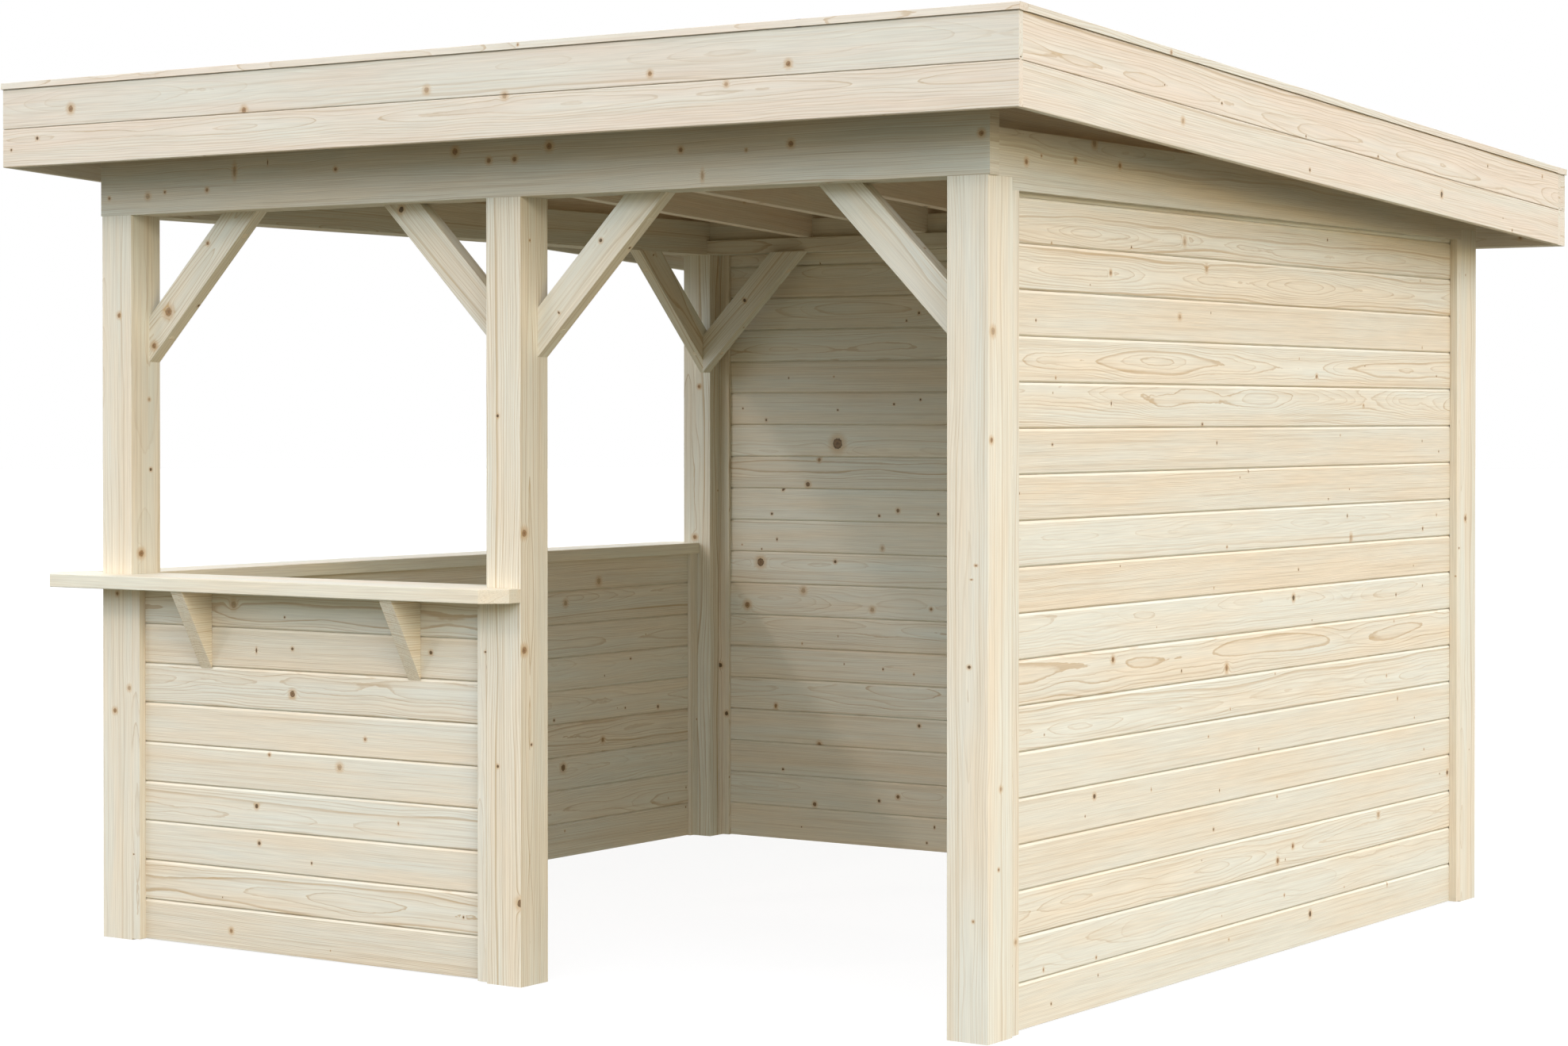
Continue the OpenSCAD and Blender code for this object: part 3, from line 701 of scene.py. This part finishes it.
for sx, side in ((-1, "left"), (1, "right")):
    s = Wood("fascia_%s_boards" % side, "fascia_wood")
    xc = sx * (XF - FT / 2)
    hc = FASCIA_H * COS
    lowc = LOW_H * COS
    for k, (h0, h1) in enumerate(((0.0, lowc), (lowc, hc))):
        h = h1 - h0
        v = 0.0018
        prof = tongued(h, FT, tongue=k == 0, groove=k == 1, v_hi=v if k == 0 else 0.0015, v_lo=v if k == 1 else 0.0015, backv=False, gap=0.0008)
        ym = (YI0 + YI1) / 2
        top = Vector((xc, ym, deck_z(ym)))
        mid = top - UPR * (hc - (h0 + h1) / 2)
        half = (YI1 - YI0) / 2 / COS
        a, b = mid - DOWN * half, mid + DOWN * half
        c0, c1 = (Vector((xc, YI0, 0)), Y), (Vector((xc, YI1, 0)), Y)
        if sx < 0:
            a, b, c0, c1 = b, a, c1, c0
        s.stick(a, b, X * sx, h, FT, profile=prof, cut0=c0, cut1=c1, knots=1.6, light=0.6 * k - 0.9, pitch=0.0062)
    s.done("fascia_" + side)

# trims: flat strips on the roof edge, with a thin gap over the fascia
TRIM_T = 0.0195


def strip_profile(w, t, slit, deep, outer):
    """(across, up) section of a trim; outer is +1 or -1, the side of the slit."""
    pts = [(-w / 2, -t / 2 + slit), (-w / 2 + deep, -t / 2 + slit), (-w / 2 + deep, -t / 2), (w / 2, -t / 2),
           (w / 2, t / 2 - 0.001), (w / 2 - 0.001, t / 2), (-w / 2 + 0.0008, t / 2), (-w / 2, t / 2 - 0.0008)]
    if outer > 0:
        pts = [(-y, z) for y, z in reversed(pts)]
    return pts


def trim(node, horizontal):
    lo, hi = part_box(node)
    s = Wood(node + "_strip", "fascia_wood")
    if horizontal:
        w = (hi.y - lo.y) / COS
        ym = (lo.y + hi.y) / 2
        mid = Vector((0, ym, deck_z(ym))) + UPR * (TRIM_T / 2)
        # ax = X, up = UPR: across runs down the slope, away from the viewer in front
        out = 1 if ym > 0 else -1
        prof = strip_profile(w, TRIM_T, 0.001, 0.008 if ym < 0 else 0.03, out)
        # keep the strip's faces upright
        prof = [(y + TAN * z, z) for y, z in prof]
        s.stick(mid + X * lo.x, mid + X * hi.x, UPR, w, TRIM_T, profile=prof, knots=1.0, light=-0.7, pitch=0.0065)
    else:
        xc, w = (lo.x + hi.x) / 2, hi.x - lo.x
        ym = (lo.y + hi.y) / 2
        mid = Vector((xc, ym, deck_z(ym))) + UPR * (TRIM_T / 2)
        half = (hi.y - lo.y) / 2 / COS
        # ax = DOWN, up = UPR: ay = up x along = -X
        prof = strip_profile(w, TRIM_T, 0.001, 0.008, -1 if xc > 0 else 1)
        s.stick(mid - DOWN * half, mid + DOWN * half, UPR, w, TRIM_T, profile=prof,
                cut0=(Vector((xc, lo.y, 0)), Y), cut1=(Vector((xc, hi.y, 0)), Y), knots=1.0, light=-0.7, pitch=0.0065)
    s.done(node)


trim("roof_trim_front", True)
trim("roof_trim_back", True)
trim("roof_trim_left", False)
trim("roof_trim_right", False)

# ---------------------------------------------------------------- walls
COVER = 0.1171
FIRST = 0.0055


def wall(name, node, out, looks=(), **kw):
    """Tongued boards laid level, V joints on both faces."""
    lo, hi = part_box(node)
    c = (lo + hi) / 2
    s = Wood(name, "board_wood")
    t = abs((hi - lo).dot(out))
    along = out.cross(Z) * -1  # so that up x along points up
    half = abs((hi - lo).dot(along)) / 2
    z0, k = lo.z, 0
    while z0 < hi.z - 0.002:
        z1 = min(FIRST + COVER * (k + 1), hi.z)
        if hi.z - z1 < 0.03:
            z1 = hi.z
        mid = Vector((c.x, c.y, (z0 + z1) / 2))
        top, low = z1 >= hi.z - 1e-6, k == 0
        prof = tongued(z1 - z0, t, tongue=not top, groove=not low,
                       v_hi=0.001 if top else None, v_lo=0.001 if low else 0.0045)
        look = looks[k] if k < len(looks) else (None, 0.0)
        # the chamfers of the boards that look up get a painted highlight along each joint
        s.stick(mid - along * half, mid + along * half, out, z1 - z0, t, profile=prof, flat=look[0], warm=look[1], planed=2.4, **kw)
        z0, k = z1, k + 1
    return s.done(node)


# (slab sawn, warmth) of each board, from the ground up
wall("right_wall_boards", "right_wall", X, (
    (False, -0.3), (True, -0.6), (True, -0.5), (False, 0.3), (False, 0.1), (False, 0.2), (True, -0.7), (True, 0.0),
    (True, -0.9), (False, 0.9), (True, -0.9), (False, 0.0), (False, 0.4), (True, -0.3), (True, 0.0), (False, 0.8),
    (True, 0.4), (True, -0.3)), knots=1.6, small=0.8)
wall("back_wall_boards", "back_wall", Y, knots=2.0, small=0.8)
wall("left_half_wall_boards", "left_half_wall", -X, knots=1.8, small=0.8)
wall("front_half_wall_boards", "front_half_wall", -Y, (
    (False, 0.2), (True, -0.3), (False, 0.3), (True, -0.6), (False, 0.0), (False, 0.1), (True, -0.9), (False, 0.9), (True, -0.7)),
    knots=1.2, small=0.8)

OUT_IN = {"right": X, "left": -X, "back": Y, "front": -Y}
BW, IW, IT = 0.032, 0.045, 0.013
WO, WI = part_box("right_wall")[1].x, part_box("right_wall")[0].x


def strips(name, node, bars):
    s = Wood(name, "board_wood")
    for lo, hi in bars:
        lo, hi = Vector(lo), Vector(hi)
        c = (lo + hi) / 2
        s.stick(Vector((c.x, c.y, lo.z)), Vector((c.x, c.y, hi.z)), -Y, hi.x - lo.x, hi.y - lo.y, bev=0.001, knots=1.6)
    s.done(node)


def side_bars(node, sx):
    lo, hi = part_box(node)
    y0, y1 = lo.y, hi.y
    z0, zin = lo.z, hi.z
    zout = PH - 0.032 if sx > 0 else zin
    out = []
    for y in (y0, y1 - BW):
        out.append(((WO if sx > 0 else -HW, y, z0), (HW if sx > 0 else -WO, y + BW, zout)))
    for y in (y0, y1 - IW):
        out.append(((WI - IT if sx > 0 else -WI, y, z0), (WI if sx > 0 else -WI + IT, y + IW, zin)))
    return out


strips("right_wall_batten_strips", "right_wall_battens", side_bars("right_wall_battens", 1))
strips("left_wall_batten_strips", "left_wall_battens", side_bars("left_wall_battens", -1))
lo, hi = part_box("back_wall")
BO, BI = hi.y, lo.y
z0, z1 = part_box("back_wall_battens")[0].z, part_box("back_wall_battens")[1].z
strips("back_wall_batten_strips", "back_wall_battens",
       [((x, BO, z0), (x + BW, YB, PH - 0.032)) for x in (-XIN, XIN - BW)]
       + [((x, BI - IT, z0), (x + IW, BI, z1)) for x in (-XIN, XIN - IW)])
lo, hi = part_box("front_half_wall")
z1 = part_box("front_wall_battens")[1].z
strips("front_wall_batten_strips", "front_wall_battens",
       [((x, YF, z0), (x + BW, lo.y, z1)) for x in (lo.x, hi.x - BW)]
       + [((x, hi.y, z0), (x + IW, hi.y + IT, z1)) for x in (lo.x, hi.x - IW)])

# the strips under the beams carry on the beams' figure
s = Wood("wall_top_strip_timbers", "beam_wood")
lo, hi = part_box("right_wall")
xc = (WO + HW) / 2
s.stick(Vector((xc, lo.y, PH - 0.016)), Vector((xc, hi.y, PH - 0.016)), X, 0.032, HW - WO, bev=0.0006, knots=0, like=RIGHT_FIGURE)
yc = (BO + YB) / 2
s.stick(Vector((-XIN, yc, PH - 0.016)), Vector((XIN, yc, PH - 0.016)), -Y, 0.032, YB - BO, bev=0.0006, knots=0, like=BACK_FIGURE)
s.done("wall_top_strips")


# ---------------------------------------------------------------- counter
def slab(s, outline, z0, z1, along, bev, seed, heart, spots=(), low_bev=None, warm=0.0):
    """A flat board of any outline (anticlockwise), its upper and lower edges
    chamfered, grain along the given direction, heart at (across, up). spots are
    knots in its longest edge: (along, up, radius, kind)."""
    rng = random.Random(seed)
    low_bev = low_bev or bev
    P = [Vector((x, y, 0)) for x, y in outline]
    if spots:  # more corners on the longest edge, halfway between its knots
        n = len(P)
        q = max(range(n), key=lambda i: (P[(i + 1) % n] - P[i]).length)
        at = sorted(k[0] for k in spots)
        more = [P[q] + along * ((u + v) / 2 - P[q].dot(along)) for u, v in zip(at, at[1:])]
        more.sort(key=lambda v: (v - P[q]).length)
        P[q + 1:q + 1] = more
    n = len(P)

    def inset(w):
        out = []
        for i in range(n):
            e0 = (P[i] - P[i - 1]).normalized()
            e1 = (P[(i + 1) % n] - P[i]).normalized()
            n0, n1 = Vector((-e0.y, e0.x, 0)), Vector((-e1.y, e1.x, 0))
            d = n0 + n1
            out.append(P[i] + d * (w / max(0.2, d.dot(n0))))
        return out

    rings = [(inset(low_bev), z0), (P, z0 + low_bev), (P, z1 - bev), (inset(bev), z1)]
    base = len(s.verts)
    for ring, z in rings:
        s.verts += [Vector((p.x, p.y, z)) for p in ring]
    side = Vector((-along.y, along.x, 0))
    shift = (rng.uniform(0, 40), 0, 0)
    tint = (0.2 + rng.gauss(0, 0.3), warm + rng.gauss(0, 0.3), rng.uniform(0.3, 0.5))

    def g(i):
        v = s.verts[i]
        return (v.dot(along), v.dot(side) - heart[0], v.z - heart[1], v.z)

    for r in range(3):
        for i in range(n):
            j = (i + 1) % n
            ids = (base + r * n + i, base + r * n + j, base + (r + 1) * n + j, base + (r + 1) * n + i)
            knot = None
            if spots and abs((P[j] - P[i]).normalized().dot(along)) > 0.999 and q <= i <= q + len(spots) - 1:
                m = (P[i] + P[j]).dot(along) / 2
                k = min(spots, key=lambda k: abs(k[0] - m))
                knot = (k[0], k[1], k[2], k[2] * 1.1, k[3], 5 * k[2])
            s.face(ids, [g(q2) for q2 in ids], shift, knot, tint, 0.0052)
    # the top face is painted lighter, a painted highlight where the light from above falls
    top = tuple(base + 3 * n + i for i in range(n))
    s.face(top, [g(q2) for q2 in top], shift, None, (tint[0] + 2.2, tint[1], tint[2]), 0.0052)
    bot = tuple(base + i for i in reversed(range(n)))
    s.face(bot, [g(q2) for q2 in bot], shift, None, tint, 0.0052)


T_LO, T_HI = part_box("counter_top")
CORNER = 0.060
s = Wood("counter_boards", "counter_wood")
xl, xr = T_LO.x, T_HI.x  # left end and right end
xo = -HW - 0.110
yf = T_LO.y
# front board in front of the posts, back boards between and beside them
front = [(xl, yf + CORNER), (xo, yf), (xr - CORNER, yf), (xr, yf + CORNER), (xr, YF), (xl, YF)]
slab(s, front, T_LO.z, T_HI.z, X, 0.0015, 11, (YF - 0.03, T_LO.z - 0.05), low_bev=0.002,
     spots=[(-1.345, 1.066, 0.004, 0.6), (-1.12, 1.068, 0.0016, 1.0), (-0.82, 1.056, 0.0028, 1.0),
            (-0.50, 1.057, 0.0034, 0.6), (-0.28, 1.075, 0.002, 0.4), (-0.04, 1.074, 0.0034, 1.0)])
slab(s, [(-XIN, YF), (M_LO.x, YF), (M_LO.x, A_HI.y), (-XIN, A_HI.y)], T_LO.z, T_HI.z, X, 0.001, 12, (YF + 0.02, T_LO.z - 0.06))
slab(s, [(xl, YF), (-HW, YF), (-HW, A_HI.y), (xo, A_HI.y), (xl, A_HI.y - CORNER)], T_LO.z, T_HI.z, X, 0.001, 13, (YF + 0.02, T_LO.z - 0.05))
s.done("counter_top")

L_LO, L_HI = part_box("left_wall_rail")
s = Wood("left_rail_board", "counter_wood")
slab(s, [(L_LO.x, L_LO.y), (L_HI.x, L_LO.y), (L_HI.x, E_LO.y), (-HW, E_LO.y), (-HW, E_HI.y), (L_LO.x + CORNER, E_HI.y),
         (L_LO.x, E_HI.y - CORNER)], L_LO.z, L_HI.z, Y, 0.002, 14, (-(L_LO.x + 0.09), L_LO.z - 0.05))
s.done("left_wall_rail")

B_LO, B_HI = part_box("counter_brackets")
s = Wood("counter_bracket_timbers", "brace_wood")
bt, b = 0.045, 0.001
for i, x0 in enumerate((B_LO.x, B_HI.x - bt)):
    xc = x0 + bt / 2
    tri = [Vector((xc, B_HI.y, B_HI.z)), Vector((xc, B_LO.y, B_HI.z)), Vector((xc, B_HI.y, B_LO.z))]
    cen = sum(tri, Vector()) / 3
    inner = [p + (cen - p).normalized() * b * 2 for p in tri]
    rng = random.Random(60 + i)
    shift = (rng.uniform(0, 30), 0.11, 0.02 + 0.03 * i)
    tint = (0.0, 0.9, 1.0)
    base = len(s.verts)
    for pts3, dx in ((inner, -bt / 2), (tri, -bt / 2 + b), (tri, bt / 2 - b), (inner, bt / 2)):
        s.verts += [p + X * dx for p in pts3]

    def g(q):
        v = s.verts[q]
        return (v.y, v.z - B_LO.z, v.x - xc, v.x - xc)

    # one knot in the slanting face of the left bracket
    spot = (B_HI.y - 0.036, -0.004, 0.007, 0.009, 0.5, 0.03)
    for r in range(3):
        for k in range(3):
            k2 = (k + 1) % 3
            ids = (base + r * 3 + k, base + r * 3 + k2, base + (r + 1) * 3 + k2, base + (r + 1) * 3 + k)
            s.face(ids, [g(q) for q in ids], shift, spot if (i, r, k) == (0, 1, 0) else None, tint, 0.0052)
    ids = tuple(base + 9 + k for k in range(3))
    s.face(ids, [g(q) for q in ids], shift, None, tint, 0.0052)
    ids = tuple(base + k for k in reversed(range(3)))
    s.face(ids, [g(q) for q in ids], shift, None, tint, 0.0052)
s.done("counter_brackets")

# ---------------------------------------------------------------- braces
BL, BWD, BT = 0.436, 0.096, 0.045


def brace(node, corner, run, side):
    """corner: where post and beam meet, run: away from the post, side: from the
    brace's outer face to its inner face. The corner lies in the inner face."""
    s = Wood(node + "_timber", "brace_wood")
    a2 = BWD * math.sqrt(2)
    low, high = corner - Z * BL, corner + run * BL
    along = (high - low).normalized()
    inward = Vector((-run.x, -run.y, 1)).normalized()  # towards the corner
    mid0, mid1 = low + inward * BWD / 2, high + inward * BWD / 2
    off = side * (-BT / 2)
    s.stick(mid0 + off, mid1 + off, side, BWD, BT, cut0=(corner, run), cut1=(corner, Z), knots=2.2, bev=0.0015, small=0.5, pitch=0.0070)
    # round wood plugs over the fixings, near both ends, in the underside
    for t in (0.16, 0.84):
        p = low + (high - low) * t + off
        plug(s, p, -inward, along, 0.0095)
    s.done(node)


def plug(s, p, n, along, r, count=20, proud=0.0009):
    """A turned wood plug: a low disc with a chamfered rim, grain across it."""
    side = n.cross(along).normalized()
    base = len(s.verts)
    levels = ((r, -0.0025), (r, proud - 0.0007), (r - 0.0008, proud))
    for rr, hh in levels:
        for i in range(count):
            t = 2 * math.pi * i / count
            s.verts.append(p + n * hh + along * (rr * math.cos(t)) + side * (rr * math.sin(t)))
    shift = (p.x * 3 + p.z * 5, 0.03, 0.04)
    tint = (1.4, 0.8, 0.5)

    def g(q):
        v = s.verts[q] - p
        return (v.dot(side), v.dot(along), v.dot(n), 0)

    flip = along.cross(side).dot(n) < 0
    for l in range(2):
        for i in range(count):
            j = (i + 1) % count
            ids = [base + l * count + i, base + l * count + j, base + (l + 1) * count + j, base + (l + 1) * count + i]
            if flip:
                ids.reverse()
            s.face(tuple(ids), [g(q) for q in ids], shift, None, tint, 0.003)
    for l, up in ((0, False), (2, True)):
        ids = [base + l * count + i for i in range(count)]
        if up == flip:
            ids.reverse()
        s.face(tuple(ids), [g(q) for q in ids], shift, None, tint, 0.003)


FBY = A_HI.y  # front braces are flush with the posts' inner faces
brace("brace_front_left", Vector((-XIN, FBY, PH)), X, Y)
brace("brace_front_middle_left", Vector((M_LO.x, FBY, PH)), -X, Y)
brace("brace_front_middle_right", Vector((M_HI.x, FBY, PH)), X, Y)
brace("brace_front_right", Vector((XIN, FBY, PH)), -X, Y)
brace("brace_back_left", Vector((-XIN, YIN, PH)), X, Y)
brace("brace_back_right", Vector((XIN, YIN, PH)), -X, Y)
brace("brace_left_back", Vector((-XIN, YIN, PH)), -Y, X)
brace("brace_right_back", Vector((XIN, YIN, PH)), -Y, -X)

# ---------------------------------------------------------------- studio
cam_data = bpy.data.cameras.new("camera")
cam_data.lens, cam_data.sensor_width = 76.466, 36.0
cam_data.shift_x, cam_data.shift_y = 0.0, -0.0482
cam_data.clip_end = 500.0
cam = bpy.data.objects.new("camera", cam_data)
cam.location = (5.76141, -8.6536, 1.5585)
cam.rotation_euler = (math.radians(90 - 0.5314), 0.0, math.radians(34.2688))
scene.collection.objects.link(cam)
scene.camera = cam



def studio_piece(name, verts, faces, base, emission):
    """Part of the pale surroundings: seen by the camera, but no light or shade
    from it falls on the gazebo, which the world below lights from all sides."""
    mesh = bpy.data.meshes.new(name)
    mesh.from_pydata(verts, [], faces)
    ob = bpy.data.objects.new(name, mesh)
    scene.collection.objects.link(ob)
    mat = bpy.data.materials.new(name)
    mat.use_nodes = True
    fb = mat.node_tree.nodes["Principled BSDF"]
    fb.inputs["Base Color"].default_value = (base, base, base, 1)
    fb.inputs["Roughness"].default_value = 1.0
    fb.inputs["Specular IOR Level"].default_value = 0.0
    fb.inputs["Emission Color"].default_value = (1, 1, 1, 1)
    fb.inputs["Emission Strength"].default_value = emission
    mesh.materials.append(mat)
    ob.visible_diffuse = ob.visible_glossy = ob.visible_shadow = False


FAR = 90.0
studio_piece("studio_floor", [(-FAR, -FAR, -0.0005), (FAR, -FAR, -0.0005), (FAR, FAR, -0.0005), (-FAR, FAR, -0.0005)],
             [(0, 1, 2, 3)], 0.16, 0.90)
# a wide bowl round it, white like the floor
ring_v, ring_f, seg = [], [], 48
for q in range(9):
    t = math.radians(90 * q / 8)
    for i in range(seg):
        a = 2 * math.pi * i / seg
        ring_v.append((FAR * math.cos(a) * math.cos(t * 0.98), FAR * math.sin(a) * math.cos(t * 0.98), FAR * math.sin(t * 0.98) - 0.5))
for q in range(8):
    for i in range(seg):
        j = (i + 1) % seg
        ring_f.append((q * seg + i, q * seg + j, (q + 1) * seg + j, (q + 1) * seg + i))
ring_f.append(tuple(8 * seg + i for i in range(seg)))
studio_piece("studio_backdrop", ring_v, ring_f, 0.0, 1.0)

world = bpy.data.worlds.new("studio")
world.use_nodes = True
N = Nodes(world.node_tree)
N.n.clear()
coord = N.n.new("ShaderNodeTexCoord")
wx, wy, wz = N.xyz(coord.outputs["Generated"])


def both(*f):
    out = f[0]
    for g in f[1:]:
        out = N.m("MULTIPLY", out, g)
    return out


# soft light by height and side: the horizon, the sky above it in three steps,
# wide lobes from the left, the right, the front right and behind, and the ground
horizon = both(N.ramp(wz, -0.09, -0.04), N.ramp(wz, 0.22, 0.13))
lobe = both(N.ramp(wz, 0.13, 0.22), N.ramp(wz, 0.7, 0.5))
to_right, to_left = N.ramp(wx, 0.2, 0.9), N.ramp(wx, -0.2, -0.9)
to_front = N.ramp(N.m("MULTIPLY", N.m("SUBTRACT", wx, wy), 0.7), 0.2, 0.9)
LIGHTS = (
    (N.ramp(wz, -0.25, -0.35), (0.345, 0.335, 0.26)),
    (horizon, (0.25, 0.33, 0.30)),
    (both(horizon, to_right), (1.26, 1.0, 0.73)),
    (both(horizon, to_left), (1.2, 1.146, 1.168)),
    (both(N.ramp(wz, 0.13, 0.22), N.ramp(wz, 0.60, 0.45)), (1.01, 1.23, 1.46)),
    (both(lobe, to_right), (0.75, 0.745, 0.876)),
    (both(N.ramp(wz, 0.45, 0.60), N.ramp(wz, 0.92, 0.80)), (1.095, 0.888, 0.774)),
    (N.ramp(wz, 0.80, 0.92), (1.25, 1.3, 1.15)),
    (both(lobe, to_front), (1.22, 1.22, 1.30)),
    (both(lobe, to_left), (1.312, 1.526, 1.824)),
    (both(lobe, N.ramp(wy, 0.5, 0.95)), (1.2, 1.15, 1.1)),
)
total = None
for mask, colour in LIGHTS:
    node = N.n.new("ShaderNodeVectorMath")
    node.operation = "SCALE"
    node.inputs[0].default_value = colour
    N.feed(node.inputs["Scale"], mask)
    if total is not None:
        add = N.n.new("ShaderNodeVectorMath")
        add.operation = "ADD"
        N.l.new(total, add.inputs[0])
        N.l.new(node.outputs[0], add.inputs[1])
        node = add
    total = node.outputs[0]
bg = N.n.new("ShaderNodeBackground")
N.l.new(total, bg.inputs["Color"])
bg.inputs["Strength"].default_value = 0.94
wo = N.n.new("ShaderNodeOutputWorld")
N.l.new(bg.outputs[0], wo.inputs[0])
scene.world = world


def sun(name, direction, angle, colour):
    """A distant lamp; colour is how bright a white wall square to it gets."""
    top = max(colour)
    data = bpy.data.lights.new(name, "SUN")
    data.energy, data.angle, data.color = 0.80 * math.pi * top, math.radians(angle), [c / top for c in colour]
    ob = bpy.data.objects.new(name, data)
    ob.rotation_euler = Vector(direction).to_track_quat("-Z", "Y").to_euler()
    scene.collection.objects.link(ob)


sun("key", (1.0, 1.5, -1.22), 4, (0.134, 0.113, 0.104))
sun("fill_high", (-1.0, 0.7, -0.75), 16, (0.122, 0.133, 0.153))
sun("fill_side", (-1.0, 0.35, -0.22), 14, (0.165, 0.126, 0.041))
sun("top", (-0.5, 0.35, -1.0), 40, (0.093, 0.116, 0.174))
scene.view_settings.view_transform = "Standard"
scene.view_settings.look = "None"
scene.view_settings.exposure = 0.0
scene.view_settings.gamma = 1.0
